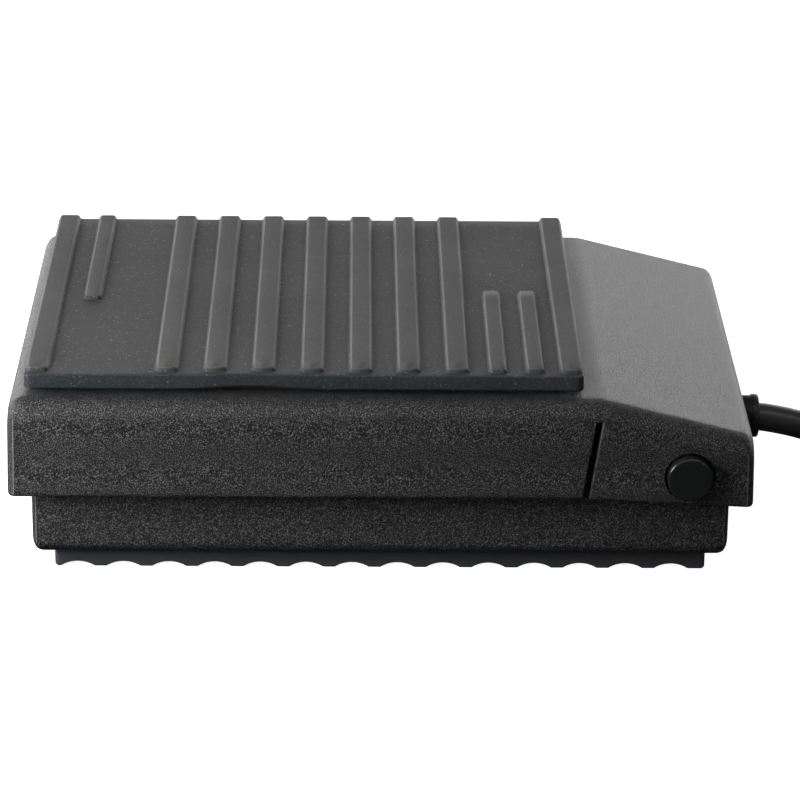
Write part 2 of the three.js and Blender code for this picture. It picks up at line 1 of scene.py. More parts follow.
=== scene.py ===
"""A sustain pedal: the detailed visual model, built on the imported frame. Metres, +Z up."""

import json
import math

import bmesh
import bpy
from mathutils import Matrix, Vector


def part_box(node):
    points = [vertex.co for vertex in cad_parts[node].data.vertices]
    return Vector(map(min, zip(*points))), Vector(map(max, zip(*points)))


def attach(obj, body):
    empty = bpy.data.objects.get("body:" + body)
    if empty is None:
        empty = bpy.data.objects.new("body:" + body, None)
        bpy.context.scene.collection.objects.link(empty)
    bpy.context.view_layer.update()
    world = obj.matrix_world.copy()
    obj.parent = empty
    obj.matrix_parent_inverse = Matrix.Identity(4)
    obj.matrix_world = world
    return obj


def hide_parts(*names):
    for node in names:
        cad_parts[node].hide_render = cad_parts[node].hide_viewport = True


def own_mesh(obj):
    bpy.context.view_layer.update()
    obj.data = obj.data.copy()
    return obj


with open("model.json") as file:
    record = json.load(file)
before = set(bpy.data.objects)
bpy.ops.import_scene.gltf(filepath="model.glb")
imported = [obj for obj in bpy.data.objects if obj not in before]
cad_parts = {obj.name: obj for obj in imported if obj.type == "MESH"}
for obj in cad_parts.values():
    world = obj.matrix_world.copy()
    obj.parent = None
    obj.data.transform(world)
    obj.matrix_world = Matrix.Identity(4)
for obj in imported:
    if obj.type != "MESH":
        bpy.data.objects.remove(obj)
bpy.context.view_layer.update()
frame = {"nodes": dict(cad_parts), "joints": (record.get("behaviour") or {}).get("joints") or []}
nodes = frame["nodes"]

SOFT_ANGLE = math.radians(35)
DRAFT = math.tan(math.radians(1))
SUPPORT = 0.0005


# ---- mesh helpers ----

def mesh_object(name, points, faces):
    mesh = bpy.data.meshes.new(name)
    mesh.from_pydata([Vector(p) for p in points], [], faces)
    mesh.validate()
    piece = bpy.data.objects.new(name, mesh)
    bpy.context.collection.objects.link(piece)
    return piece


def shade(piece, angle=SOFT_ANGLE):
    """Points every face outwards and shades all but the sharp edges smooth."""
    work = bmesh.new()
    work.from_mesh(piece.data)
    bmesh.ops.recalc_face_normals(work, faces=work.faces)
    for face in work.faces:
        face.smooth = True
    for edge in work.edges:
        edge.smooth = len(edge.link_faces) == 2 and edge.calc_face_angle() < angle
    work.to_mesh(piece.data)
    work.free()
    return piece


def loft(name, rings):
    """A closed skin over rings of equally many points, capped at both ends."""
    count = len(rings[0])
    points = [p for ring in rings for p in ring]
    faces = [tuple(reversed(range(count)))]
    for k in range(len(rings) - 1):
        for i in range(count):
            j = (i + 1) % count
            faces.append((k * count + i, k * count + j, (k + 1) * count + j, (k + 1) * count + i))
    faces.append(tuple(range((len(rings) - 1) * count, len(rings) * count)))
    return shade(mesh_object(name, points, faces))


def lathe(name, profile, steps, place):
    """A turned piece: [radius, height] pairs about local Z, moved by the matrix `place`.
    The profile starts and ends on the axis, or closes on itself."""
    rings = []
    for k in range(steps):
        angle = 2 * math.pi * k / steps
        rings.append([(r * math.cos(angle), r * math.sin(angle), z) for r, z in profile])
    count = len(profile)
    faces = []
    for k in range(steps):
        for i in range(count - 1):
            a, b = k * count, ((k + 1) % steps) * count
            faces.append((a + i, b + i, b + i + 1, a + i + 1))
    piece = mesh_object(name, [p for ring in rings for p in ring], faces)
    work = bmesh.new()
    work.from_mesh(piece.data)
    bmesh.ops.remove_doubles(work, verts=work.verts, dist=1e-7)
    bmesh.ops.transform(work, matrix=place, verts=work.verts)
    work.to_mesh(piece.data)
    work.free()
    return shade(piece)


def applied(piece):
    """Applies a piece's modifiers to its mesh."""
    bpy.context.view_layer.update()
    result = bpy.data.meshes.new_from_object(piece.evaluated_get(bpy.context.evaluated_depsgraph_get()))
    piece.modifiers.clear()
    old = piece.data
    piece.data = result
    bpy.data.meshes.remove(old)
    return piece


def combine(piece, other, operation):
    """Cuts `other` from the piece, or joins or intersects the two. `other` is used up."""
    step = piece.modifiers.new(operation, "BOOLEAN")
    step.operation = operation
    step.solver = "EXACT"
    step.object = other
    applied(piece)
    bpy.data.objects.remove(other)
    return piece


def add_mesh(piece, other):
    """Adds the faces of `other`, which is used up, to the piece."""
    work = bmesh.new()
    work.from_mesh(piece.data)
    work.from_mesh(other.data)
    work.to_mesh(piece.data)
    work.free()
    bpy.data.objects.remove(other)
    return piece


def block(name, low, high):
    """A plain box, for cutting."""
    (x0, y0, z0), (x1, y1, z1) = low, high
    rings = [[(x, y0, z0), (x, y1, z0), (x, y1, z1), (x, y0, z1)] for x in (x0, x1)]
    return loft(name, rings)


def arc(cx, cy, radius, start, end, steps):
    """Points on an arc, with its angles in degrees."""
    angles = [math.radians(start + (end - start) * k / steps) for k in range(steps + 1)]
    return [(cx + radius * math.cos(a), cy + radius * math.sin(a)) for a in angles]


def rounding(distance, radius):
    """How far a rounded edge has dropped at this distance from its end."""
    left = radius - max(0.0, min(distance, radius))
    return radius - math.sqrt(radius ** 2 - left ** 2)


def creased(distance, radius):
    """A rounded corner that starts with a crease of 30 degrees, half a radius from its end."""
    reach = radius / 2 - max(0.0, min(distance, radius / 2))
    sine = 0.5 + reach / radius
    return radius * (math.cos(math.radians(30)) - math.sqrt(max(0.0, 1 - sine ** 2)))


def end_stations(x0, x1, radii, steps, between=()):
    """Stations along X, close together in the rounded ends. One more at each end keeps the face
    between them flat in shading."""
    inward = {round(r * (1 - math.cos(math.pi / 2 * k / steps)), 7) for r in radii for k in range(steps + 1)}
    inward.add(round(max(radii) + SUPPORT, 7))
    return [x0 + d for d in sorted(inward)] + sorted(between) + [x1 - d for d in sorted(inward, reverse=True)]


def ride(piece, body, slot, *replaced):
    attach(piece, body)
    if replaced:
        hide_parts(*replaced)
    return piece


# ---- camera, floor and light ----

VIEW = {"elevation": 21.59, "yaw": 0.77, "roll": 0.58, "distance": 0.5333}
LOOK_AT = Vector((0.00288, 0, 0.01301))
LENS = 168.5


def add_camera():
    data = bpy.data.cameras.new("camera")
    data.lens = LENS
    data.sensor_width = 36
    camera = bpy.data.objects.new("camera", data)
    bpy.context.collection.objects.link(camera)
    elevation, yaw, roll = (math.radians(VIEW[k]) for k in ("elevation", "yaw", "roll"))
    forward = Vector((
        math.sin(yaw) * math.cos(elevation), math.cos(yaw) * math.cos(elevation), -math.sin(elevation),
    ))
    turn = forward.to_track_quat("-Z", "Y").to_matrix().to_4x4() @ Matrix.Rotation(roll, 4, "Z")
    camera.matrix_world = Matrix.Translation(LOOK_AT - VIEW["distance"] * forward) @ turn
    bpy.context.scene.camera = camera


def add_floor():
    """A white sheet to the camera. To the pedal it is dim in front and bright behind."""
    size = 2.5
    floor = mesh_object("floor", [(-size, -size, 0), (size, -size, 0), (size, size, 0), (-size, size, 0)],
                        [(0, 1, 2, 3)])
    paint, shader = new_material("floor_paint", (0.85, 0.85, 0.85), 0.9)
    shader.inputs["Emission Color"].default_value = (1, 1, 1, 1)
    shader.inputs["Emission Strength"].default_value = 0.95
    tree = paint.node_tree
    place = add_node(tree, "ShaderNodeTexCoord")
    split = add_node(tree, "ShaderNodeSeparateXYZ")
    tree.links.new(place.outputs["Object"], split.inputs[0])
    dim = add_node(tree, "ShaderNodeEmission")
    tree.links.new(spread(tree, split.outputs["Y"], 0.02, 0.2, 0.03, 2.0), dim.inputs["Strength"])
    path = add_node(tree, "ShaderNodeLightPath")
    mix = add_node(tree, "ShaderNodeMixShader")
    tree.links.new(path.outputs["Is Camera Ray"], mix.inputs[0])
    tree.links.new(dim.outputs[0], mix.inputs[1])
    tree.links.new(shader.outputs[0], mix.inputs[2])
    tree.links.new(mix.outputs[0], tree.nodes["Material Output"].inputs["Surface"])
    floor.data.materials.append(paint)


def add_light(name, place, size, brightness, target=(0, 0, 0.015), color=(1, 1, 1)):
    """A soft box, `brightness` bright all over, aimed at the pedal."""
    data = bpy.data.lights.new(name, "AREA")
    data.shape = "RECTANGLE"
    data.size, data.size_y = size
    data.energy = brightness * math.pi * size[0] * size[1]
    data.color = color
    lamp = bpy.data.objects.new(name, data)
    bpy.context.collection.objects.link(lamp)
    aim = (Vector(target) - Vector(place)).to_track_quat("-Z", "Y").to_matrix().to_4x4()
    lamp.matrix_world = Matrix.Translation(place) @ aim


def add_lights():
    """A surround that is white to the camera and dim to the pedal, a bright strip and two soft boxes
    behind, a long box above, one box at each side, and a small key low on the left."""
    world = bpy.data.worlds.new("studio")
    bpy.context.scene.world = world
    world.use_nodes = True
    tree = world.node_tree
    shown = tree.nodes["Background"]
    shown.inputs["Color"].default_value = (1, 1, 1, 1)
    shown.inputs["Strength"].default_value = 1.0
    dim = add_node(tree, "ShaderNodeBackground")
    path = add_node(tree, "ShaderNodeLightPath")
    tree.links.new(spread(tree, path.outputs["Is Glossy Ray"], 0.0, 1.0, 0.02, 0.18), dim.inputs["Strength"])
    mix = add_node(tree, "ShaderNodeMixShader")
    tree.links.new(path.outputs["Is Camera Ray"], mix.inputs[0])
    tree.links.new(dim.outputs[0], mix.inputs[1])
    tree.links.new(shown.outputs[0], mix.inputs[2])
    tree.links.new(mix.outputs[0], tree.nodes["World Output"].inputs["Surface"])
    add_light("horizon_light", (0, 1.2, 0.12), (3.0, 0.24), 3.0)
    for side, brightness in ((1, 1.22), (-1, 1.25)):
        add_light("back_light", (0.75 * side, 1.15, 0.55), (1.2, 0.8), brightness, color=(1, 0.975, 0.995))
    add_light("front_light", (0, -0.5, 1.0), (1.6, 0.25), 2.0)
    add_light("left_light", (-1.0, 0.1, 0.3), (0.6, 0.6), 1.5)
    add_light("right_light", (0.55, -0.75, 0.3), (0.12, 0.12), 4)
    add_light("key_light", (-0.17, -0.1, 0.085), (0.1, 0.1), 15.5)
    bpy.context.scene.view_settings.view_transform = "Standard"


# ---- materials ----

def new_material(name, color, roughness, **values):
    made = bpy.data.materials.new(name)
    made.use_nodes = True
    shader = made.node_tree.nodes["Principled BSDF"]
    shader.inputs["Base Color"].default_value = (*color, 1)
    shader.inputs["Roughness"].default_value = roughness
    for key, value in values.items():
        shader.inputs[key.replace("_", " ").capitalize()].default_value = value
    return made, shader


def add_node(tree, kind, **values):
    made = tree.nodes.new(kind)
    for key, value in values.items():
        if key in made.inputs:
            made.inputs[key].default_value = value
        else:
            setattr(made, key, value)
    return made


def noise(tree, scale, detail=2.0, roughness=0.5, along=(1, 1, 1), turn=0):
    """A noise pattern fixed to the piece, with `scale` features in a metre. It may be turned
    about Y, in degrees, and stretched along its turned axes."""
    place = add_node(tree, "ShaderNodeTexCoord")
    laid = add_node(tree, "ShaderNodeMapping", vector_type="TEXTURE", Scale=along,
                    Rotation=(0, math.radians(turn), 0))
    made = add_node(tree, "ShaderNodeTexNoise", Scale=scale, Detail=detail, Roughness=roughness)
    tree.links.new(place.outputs["Object"], laid.inputs["Vector"])
    tree.links.new(laid.outputs["Vector"], made.inputs["Vector"])
    return made.outputs["Fac"]


def spread(tree, value, low, high, to_low, to_high):
    """The value stretched from one range to another."""
    made = add_node(tree, "ShaderNodeMapRange")
    for socket, number in zip(("From Min", "From Max", "To Min", "To Max"), (low, high, to_low, to_high)):
        made.inputs[socket].default_value = number
    tree.links.new(value, made.inputs["Value"])
    return made.outputs["Result"]


def blend_colors(tree, amount, first, second):
    made = add_node(tree, "ShaderNodeMix", data_type="RGBA")
    for socket, value in ((made.inputs[6], first), (made.inputs[7], second)):
        if isinstance(value, tuple):
            socket.default_value = (*value, 1)
        else:
            tree.links.new(value, socket)
    tree.links.new(amount, made.inputs[0])
    return made.outputs[2]


def add_bump(tree, shader, heights):
    """Bumps from (height, depth in metres) pairs, coarse first."""
    normal = None
    for height, depth in heights:
        made = add_node(tree, "ShaderNodeBump", Strength=1.0, Distance=depth)
        tree.links.new(height, made.inputs["Height"])
        if normal:
            tree.links.new(normal, made.inputs["Normal"])
        normal = made.outputs["Normal"]
    tree.links.new(normal, shader.inputs["Normal"])


def grained_plastic():
    """Textured moulded plastic with a dense pebbled texture: painted shade in its pits and painted glints on
    its crests, and a painted highlight along the marked corner and slit lines."""
    made, shader = new_material("grained_plastic", (0.014, 0.014, 0.015), 0.3)
    tree = made.node_tree
    pebbles = noise(tree, 9000, 0.0, along=(1.7, 1.0, 1.0), turn=-50)
    swell = noise(tree, 2600, 1.0)
    # The pebbles' colour runs from painted shade in the pits to painted glints on the crests, standing in for
    # light sparkling off the texture.
    painted_glint_mask = spread(tree, pebbles, 0.57, 0.7, 0.0, 1.0)
    grain_shade_and_glints = blend_colors(tree, painted_glint_mask, (0.003, 0.003, 0.0034), (0.195, 0.193, 0.193))
    edge_highlight = add_node(tree, "ShaderNodeAttribute", attribute_name="edge_highlight").outputs["Fac"]
    # The marked lines get a pale colour: a painted highlight down the upright corners and along the slit's
    # edge.
    tree.links.new(blend_colors(tree, edge_highlight, grain_shade_and_glints, (0.22, 0.22, 0.22)), shader.inputs["Base Color"])
    tree.links.new(spread(tree, pebbles, 0.4, 0.65, 0.5, 0.26), shader.inputs["Roughness"])
    add_bump(tree, shader, [(swell, 0.00003), (pebbles, 0.00012)])
    return made


def color_ramp(tree, value, stops):
    made = add_node(tree, "ShaderNodeValToRGB")
    points = made.color_ramp.elements
    while len(points) < len(stops):
        points.new(1.0)
    for point, (place, color) in zip(points, stops):
        point.position = place
        point.color = (*color, 1)
    tree.links.new(value, made.inputs[0])
    return made.outputs[0]


def tread_rubber():
    """Moulded rubber, coloured by height on the ribs: paler tops, painted shade on the rib flanks and the
    pad's sides, and a painted highlight along the rib edges; dust and specks lie over all.
    """
    made, shader = new_material("tread_rubber", (0.05, 0.05, 0.052), 0.62)
    tree = made.node_tree
    rise = add_node(tree, "ShaderNodeAttribute", attribute_name="rise").outputs["Fac"]
    # The ramp by rib height paints shade on the flanks and, at the side mark, on the pad's sides; the band
    # near the top paints a highlight along the rib edges.
    body = color_ramp(tree, rise, [
        (0.0, (0.034, 0.034, 0.0355)), (SHADED_SIDE_MARK, (0.021, 0.0245, 0.0305)), (0.6, (0.028, 0.028, 0.029)),
        (0.86, (0.1, 0.099, 0.097)), (0.965, (0.1, 0.099, 0.097)), (1.0, (0.06, 0.06, 0.059)),
    ])
    clouds = spread(tree, noise(tree, 90, 3.0), 0.3, 0.7, 0.0, 0.12)
    shaded = blend_colors(tree, clouds, body, (0.07, 0.069, 0.067))
    dust = spread(tree, noise(tree, 5200, 1.0, 0.7), 0.5, 0.75, 0.0, 0.4)
    dusty = blend_colors(tree, dust, shaded, (0.12, 0.118, 0.114))
    specks = spread(tree, noise(tree, 2900, 0.0), 0.76, 0.8, 0.0, 1.0)
    speckled = blend_colors(tree, specks, dusty, (0.17, 0.165, 0.155))
    shader.inputs["Specular IOR Level"].default_value = 0.45
    tree.links.new(speckled, shader.inputs["Base Color"])
    tree.links.new(spread(tree, clouds, 0.0, 0.25, 0.55, 0.7), shader.inputs["Roughness"])
    add_bump(tree, shader, [(noise(tree, 420, 2.0), 0.00004), (noise(tree, 3600, 2.0), 0.00004)])
    return made


def mat_rubber():
    made, shader = new_material("mat_rubber", (0.03, 0.031, 0.034), 0.55)
    tree = made.node_tree
    clouds = noise(tree, 160, 3.0)
    specks = spread(tree, noise(tree, 1500, 2.0, 0.7), 0.70, 0.78, 0.0, 1.0)
    color = blend_colors(tree, clouds, (0.06, 0.066, 0.076), (0.085, 0.091, 0.102))
    tree.links.new(blend_colors(tree, specks, color, (0.12, 0.12, 0.12)), shader.inputs["Base Color"])
    add_bump(tree, shader, [(noise(tree, 500, 2.0), 0.00005), (noise(tree, 3600, 2.0), 0.00002)])
    return made


def smooth_plastic(name, color, roughness, depth=0.00001, scale=900):
    """A moulded plastic with a faint orange peel and uneven gloss."""
    made, shader = new_material(name, color, roughness)
    tree = made.node_tree
    peel = noise(tree, scale, 2.0)
    pale = tuple(min(1.0, 1.35 * c) for c in color)
    tree.links.new(blend_colors(tree, noise(tree, 90, 2.0), color, pale), shader.inputs["Base Color"])
    low, high = 0.85 * roughness, 1.2 * roughness
    tree.links.new(spread(tree, peel, 0.3, 0.7, low, high), shader.inputs["Roughness"])
    add_bump(tree, shader, [(peel, depth)])
    return made


def plain_metal(name, color, roughness, scale=1200):
    made, shader = new_material(name, color, roughness, metallic=1.0)
    tree = made.node_tree
    marks = noise(tree, scale, 4.0, 0.65)
    dull = tuple(0.8 * c for c in color)
    tree.links.new(blend_colors(tree, noise(tree, 150, 3.0), dull, color), shader.inputs["Base Color"])
    gloss_range = (0.75 * roughness, 1.35 * roughness)
    tree.links.new(spread(tree, marks, 0.3, 0.7, *gloss_range), shader.inputs["Roughness"])
    add_bump(tree, shader, [(marks, 0.000004)])
    return made


# ---- casing ----

_, cover_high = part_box("cover")
base_low, base_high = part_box("base_tray")
pad_low, pad_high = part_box("tread_pad")
mat_low, mat_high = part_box("base_mat")
collar_low, collar_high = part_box("strain_relief")

PIVOT = Vector(frame["joints"][0]["pos_m"])
CORD_Z = (collar_low.z + collar_high.z) / 2
SLIT = {"low_x": 0.0271, "top_x": 0.0292, "top": 0.0231, "half": 0.0004, "bevel": 0.0004}
COVER = {"low": 0.0126, "wall": 0.002, "roof": 0.0022, "corner": 0.0017, "edge": 0.0024, "rim": 0.0004,
         "heel_edge": 0.0013}
INSIDE = {"corner": 0.0006, "edge": 0.0006, "rim": 0.0002}
HEEL = {"fold": 0.0296, "end": 0.0492, "end_z": 0.0214, "low": 0.0115, "blend": 0.0009}
HOLE_RADIUS = 0.0034
NOTCH_RADIUS = 0.0044
SHAFT_HOLE_RADIUS = 0.0025
OUTLET_RADIUS = 0.00365
BASE = {"floor": 0.005, "wall": 0.002, "corner": 0.0011, "edge": 0.0015, "top_edge": 0.0003}
WALL_TOP = {"toe": 0.0156, "heel": 0.019, "tower_from": 0.0364, "tower_to": 0.0456, "tower": 0.0204,
            "past_tower": 0.017, "step": 0.00001}


def cover_top(x):
    """The height of the cover's flat top and of its sloped heel."""
    slope = (cover_high.z - HEEL["end_z"]) / (HEEL["end"] - HEEL["fold"])
    past = x - HEEL["fold"]
    if past <= -HEEL["blend"]:
        return cover_high.z
    if past < HEEL["blend"]:
        return cover_high.z - slope * (past + HEEL["blend"]) ** 2 / (4 * HEEL["blend"])
    return cover_high.z - slope * past


def cover_bottom(x):
    if x <= SLIT["low_x"]:
        return COVER["low"]
    return COVER["low"] - (COVER["low"] - HEEL["low"]) * (x - SLIT["low_x"]) / (cover_high.x - SLIT["low_x"])


def casing_block(name, half_x, half_y, bottom, top, corner, edge, rim, between, heel_edge=None):
    """A block with rounded upright corners (corner), top edges (edge) and bottom edges (rim).
    The top edge at the heel may have its own radius."""
    heel_edge = heel_edge or edge
    rings = []
    for x in end_stations(-half_x, half_x, (corner / 2, edge, heel_edge, rim), 8, between):
        inward = half_x - abs(x)
        y = half_y - creased(inward, corner)
        z1 = top(x) - rounding(inward, heel_edge if x > 0 else edge)
        z0 = bottom(x) + rounding(inward, rim)
        near = [(-y + rim + SUPPORT, z0)] + arc(-y + rim, z0 + rim, rim, 270, 180, 4)
        near += [(-y, z0 + rim + SUPPORT), (-y, z1 - edge - SUPPORT)]
        near += arc(-y + edge, z1 - edge, edge, 180, 90, 8) + [(-y + edge + SUPPORT, z1)]
        rings.append([(x, *p) for p in near] + [(x, -p[0], p[1]) for p in reversed(near)])
    return loft(name, rings)


def add_draft(piece, half_x, half_y, low):
    """Leans the upright walls inwards by the mould's draft."""
    for vertex in piece.data.vertices:
        rise = DRAFT * (vertex.co.z - low)
        vertex.co.x *= 1 - rise / half_x
        vertex.co.y *= 1 - rise / half_y


def mark_highlight_lines(piece, half_x, half_y, drafted_from, corner):
    """Marks the lines down the upright corners and along the slit's heel side, where the material paints a
    highlight.
    """
    mark = piece.data.attributes.new("edge_highlight", "FLOAT", "POINT")
    for vertex in piece.data.vertices:
        rise = DRAFT * (vertex.co.z - drafted_from) if drafted_from else 0.0
        x, y = abs(vertex.co.x) / (1 - rise / half_x), abs(vertex.co.y) / (1 - rise / half_y)
        on_line = abs(x - (half_x - corner / 2)) < 0.00002 and y > half_y - 0.00002
        up = (vertex.co.z - COVER["low"]) / (SLIT["top"] - COVER["low"])
        slit_x = SLIT["low_x"] + (SLIT["top_x"] - SLIT["low_x"]) * up + SLIT["half"]
        on_slit = vertex.co.x > 0 and abs(x - slit_x) < 0.0001 and abs(y - (half_y - SLIT["bevel"])) < 0.00002
        mark.data[vertex.index].value = 1.0 if on_line or on_slit else 0.0


def inner_features(node, room):
    """The bosses, ribs and posts that the CAD node holds in the room inside its walls."""
    piece = bpy.data.objects.new(node + "_inside", nodes[node].data.copy())
    bpy.context.collection.objects.link(piece)
    return combine(piece, room, "INTERSECT")


def hole_cutter(side):
    """Cuts the pivot's hole and breaks its outer edge."""
    y = cover_high.y
    flare = 0.0001
    profile = [(0, y - 0.004), (HOLE_RADIUS, y - 0.004), (HOLE_RADIUS, y - flare), (HOLE_RADIUS + flare, y),
               (HOLE_RADIUS + 2 * flare, y + 0.0005), (0, y + 0.0005)]
    turn = Matrix.Rotation(-side * math.pi / 2, 4, "X")
    return lathe("hole", profile, 64, Matrix.Translation((PIVOT.x, 0, PIVOT.z)) @ turn)


def slit_cutter(side):
    """Cuts the slanted flex slit and breaks its outer edges."""
    rings = []
    y = cover_high.y
    for depth, half in ((0.0026, 0.0004), (SLIT["bevel"], 0.0004), (0, 0.0006), (-0.001, 0.0016)):
        bottom, top = COVER["low"] - 0.002, SLIT["top"] + half
        rings.append([(x, side * (y - depth), z) for x, z in (
            (SLIT["low_x"] - half, bottom), (SLIT["low_x"] + half, bottom),
            (SLIT["top_x"] + half, top), (SLIT["top_x"] - half, top))])
    return loft("slit", rings)


def notch_cutter():
    """Cuts the arch over the cord in the heel wall."""
    outline = [(-NOTCH_RADIUS, 0), *arc(0, CORD_Z, NOTCH_RADIUS, 180, 0, 24), (NOTCH_RADIUS, 0)]
    return loft("notch", [[(x, *p) for p in outline] for x in (cover_high.x - 0.005, cover_high.x + 0.005)])


def under_roof(lift, fold):
    """The block of space inside the cover's walls, up to `lift` above the roof's underside."""
    wall = COVER["wall"]
    return casing_block("under_roof", cover_high.x - wall, cover_high.y - wall, lambda x: 0.0,
                        lambda x: cover_top(x) - COVER["roof"] + lift,
                        INSIDE["corner"], INSIDE["edge"], INSIDE["rim"], fold)


def add_cover():
    half_x, half_y = cover_high.x, cover_high.y
    fold = [HEEL["fold"] + HEEL["blend"] * k / 3 for k in range(-3, 4)]
    between = [*fold, SLIT["low_x"]]
    piece = casing_block("cover_shell", half_x, half_y, cover_bottom, cover_top,
                         COVER["corner"], COVER["edge"], COVER["rim"], between, COVER["heel_edge"])
    combine(piece, under_roof(0.0, fold), "DIFFERENCE")
    for side in (-1, 1):
        combine(piece, slit_cutter(side), "DIFFERENCE")
    combine(piece, notch_cutter(), "DIFFERENCE")
    add_draft(piece, half_x, half_y, COVER["low"])
    for side in (-1, 1):
        combine(piece, hole_cutter(side), "DIFFERENCE")
    room = under_roof(SUPPORT, fold)
    add_draft(room, half_x, half_y, COVER["low"])
    add_mesh(piece, inner_features("cover", room))
    # Marks the corner and slit lines that carry the painted highlight.
    mark_highlight_lines(piece, half_x, half_y, COVER["low"], COVER["corner"])
    shade(piece)
    piece.data.materials.clear()
    piece.data.materials.append(plastic)
    ride(piece, "pedal", "casing_plastic", "cover")


def wall_top(x):
    """The tray wall rises towards the heel, and stands up round the pivots."""
    toe, heel = WALL_TOP["toe"], WALL_TOP["heel"]
    if x < WALL_TOP["tower_from"]:
        return toe + (heel - toe) * (x + base_high.x) / (WALL_TOP["tower_from"] + base_high.x)
    if x < WALL_TOP["tower_to"]:
        return WALL_TOP["tower"]
    return WALL_TOP["past_tower"]


def round_cutter(name, radius, steps, axis):
    """Cuts a round hole through a tray wall that stands at the origin of `axis`."""
    reach = 0.003
    return lathe(name, [(0, -reach), (radius, -reach), (radius, reach), (0, reach)], steps, axis)


def add_base():
    half_x, half_y = base_high.x, base_high.y
    steps = [x + side * WALL_TOP["step"] for x in (WALL_TOP["tower_from"], WALL_TOP["tower_to"])
             for side in (-1, 1)]
    last = half_x - BASE["edge"] - 0.0001
    piece = casing_block("base_shell", half_x, half_y, lambda x: base_low.z, wall_top,
                         BASE["corner"], BASE["top_edge"], BASE["edge"], [x for x in steps if x < last])
    wall = BASE["wall"]
    low = Vector((-half_x + wall, -half_y + wall, BASE["floor"]))
    above_walls = 0.03
    high = Vector((half_x - wall, half_y - wall, above_walls))
    combine(piece, block("hollow", low, high), "DIFFERENCE")
    for side in (-1, 1):
        axis = Matrix.Translation((PIVOT.x, side * half_y, PIVOT.z)) @ Matrix.Rotation(math.pi / 2, 4, "X")
        combine(piece, round_cutter("shaft_hole", SHAFT_HOLE_RADIUS, 32, axis), "DIFFERENCE")
    axis = Matrix.Translation((half_x, 0, CORD_Z)) @ Matrix.Rotation(math.pi / 2, 4, "Y")
    combine(piece, round_cutter("outlet", OUTLET_RADIUS, 48, axis), "DIFFERENCE")
    add_mesh(piece, inner_features("base_tray", block("room", low - Vector((0, 0, SUPPORT)), high)))
    # Marks the corner lines that carry the painted highlight.
    mark_highlight_lines(piece, half_x, half_y, None, BASE["corner"])
    shade(piece)
    piece.data.materials.clear()
    piece.data.materials.append(plastic)
    ride(piece, "base", "casing_plastic", "base_tray")


# ---- rubber ----

PAD = {"top": 0.0291, "corner": 0.0009, "edge": 0.0002, "lip": 0.00065, "lip_inset": 0.0011}
RIB = {"width": 0.0033, "short_width": 0.0027, "rise": 0.0006, "inset": 0.0010, "flank": 0.00055}
LONG_RIBS = (-0.04595, -0.02865, -0.0222, -0.01575, -0.00925, -0.0028, 0.0036, 0.0101, 0.0253)
SHORT_RIBS = ((-0.04035, -0.0032, None), (0.0155, None, 0.0005), (0.0205, None, 0.0005))
SHOULDER = ((0.0, 0.0), (0.2, 0.3), (0.5, 0.8), (0.75, 0.96), (1.0, 1.0))
CHAMFER_SLOPE = 0.7
# The ramp value given to the pad's sides, which picks their painted shade.
SHADED_SIDE_MARK = 0.2
LIFT = {"x": -0.0172, "half": 0.0105, "height": 0.00045, "reach": 0.012, "top_share": 0.4}


def shoulder(distance):
    """The rib's height, from 0 to 1, at this distance inside its foot."""
    t = max(0.0, min(1.0, distance / RIB["flank"]))
    for (t0, h0), (t1, h1) in zip(SHOULDER, SHOULDER[1:]):
        if t <= t1:
            return h0 + (h1 - h0) * (t - t0) / (t1 - t0)
    return 1.0


def ribs():
    """(middle x, width, low y, high y) of every rib on the pad."""
    near, far = pad_low.y + RIB["inset"], pad_high.y + RIB["flank"]
    made = [(x, RIB["width"], near, far) for x in LONG_RIBS]
    made += [(x, RIB["short_width"], y0 or near, y1 or far) for x, y0, y1 in SHORT_RIBS]
    return made


def pad_height(x, y):
    rise = 0.0
    for middle, width, y0, y1 in ribs():
        in_x = width / 2 - abs(x - middle)
        in_y = min(y - y0, y1 - y)
        on_chamfer = (in_x + in_y - RIB["flank"]) * CHAMFER_SLOPE
        rise = max(rise, min(shoulder(in_x), shoulder(in_y), shoulder(on_chamfer)))
    return RIB["rise"] * rise


def stations(edges, low, high, spacing):
    """Positions that follow each rib flank, and fill the rest at a wide spacing."""
    found = {round(edge + inward * t * RIB["flank"], 7) for edge, inward in edges for t, _ in SHOULDER}
    ordered = [low, *sorted(v for v in found if low + 1e-6 < v < high - 1e-6), high]
    filled = []
    for a, b in zip(ordered, ordered[1:]):
        parts = max(1, math.ceil((b - a) / spacing))
        filled += [a + (b - a) * k / parts for k in range(parts)]
    return filled + [ordered[-1]]


def lifted(x, y):
    """How far the pad's near edge has come unstuck."""
    t = (x - LIFT["x"]) / LIFT["half"]
    if abs(t) >= 1:
        return 0.0
    near = max(0.0, 1 - (y - pad_low.y) / LIFT["reach"])
    return LIFT["height"] * (0.5 + 0.5 * math.cos(math.pi * t)) * near ** 2


